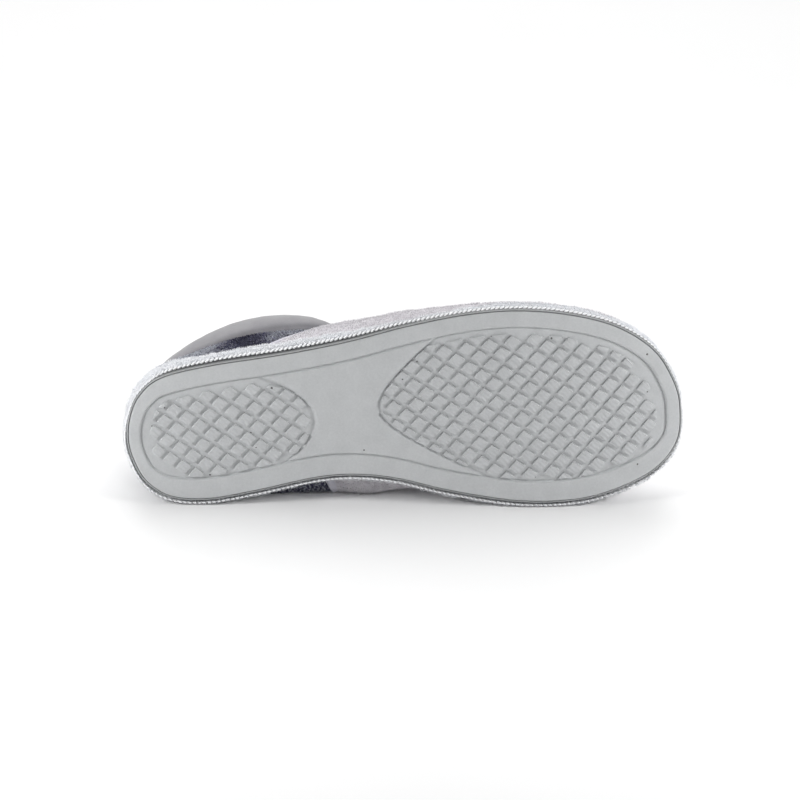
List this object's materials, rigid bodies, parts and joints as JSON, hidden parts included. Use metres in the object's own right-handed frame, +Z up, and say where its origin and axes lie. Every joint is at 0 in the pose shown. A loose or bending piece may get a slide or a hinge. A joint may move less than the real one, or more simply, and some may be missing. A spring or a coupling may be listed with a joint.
{
  "type": "faux fur lined slipper",
  "caption": "Closed-back house slipper for the right foot, lying on its side: diamond-tread outsole, plush wedge platform, fleece vamp, fur quarter and padded collar.",
  "frame": {"origin": "on the floor, under the middle of the slipper's box as it lies on its medial side", "axes": "+X from the heel to the toe, +Y from the sole towards the opening, +Z up, from the medial to the lateral side"},
  "size_m": [0.2526, 0.069, 0.0971],
  "materials": {
    "outsole": "pale grey moulded rubber, satin to matt, with a fine grain",
    "platform": "near-white short plush wrapped over foam",
    "insole": "dark blue-grey faux fur sock",
    "upper": "pale fleece vamp over a dark blue-grey faux fur quarter",
    "collar": "smooth grey padded fabric roll"
  },
  "bodies": {
    "root": {"outsole": "outsole", "platform": "platform", "insole": "insole", "upper": "upper", "collar": "collar"}
  },
  "joints": []
}
